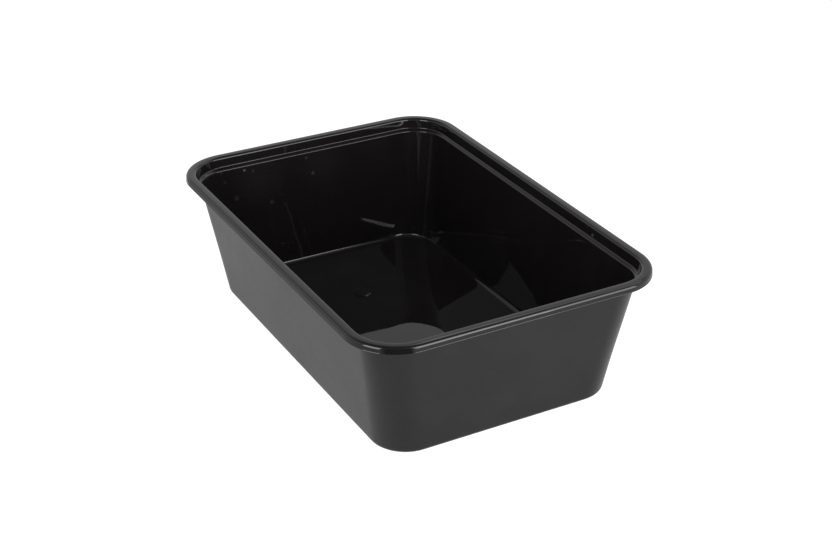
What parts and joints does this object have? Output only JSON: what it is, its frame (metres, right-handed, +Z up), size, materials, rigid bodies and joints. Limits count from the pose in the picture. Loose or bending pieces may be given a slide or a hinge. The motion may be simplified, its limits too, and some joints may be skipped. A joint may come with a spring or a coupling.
{
  "type": "takeaway meal container",
  "caption": "Empty rectangular takeaway tub with tapered walls, rounded corners, a lid seat and a flanged rim.",
  "frame": {"origin": "centre of the flat base, on the surface it stands on", "axes": "+X along the long side, +Y along the short side, +Z up out of the open top"},
  "size_m": [0.172, 0.1186, 0.0506],
  "materials": {
    "black_plastic": "black polypropylene, mirror gloss inside, satin outside"
  },
  "bodies": {
    "root": {"meal_container": "black_plastic"}
  },
  "joints": []
}
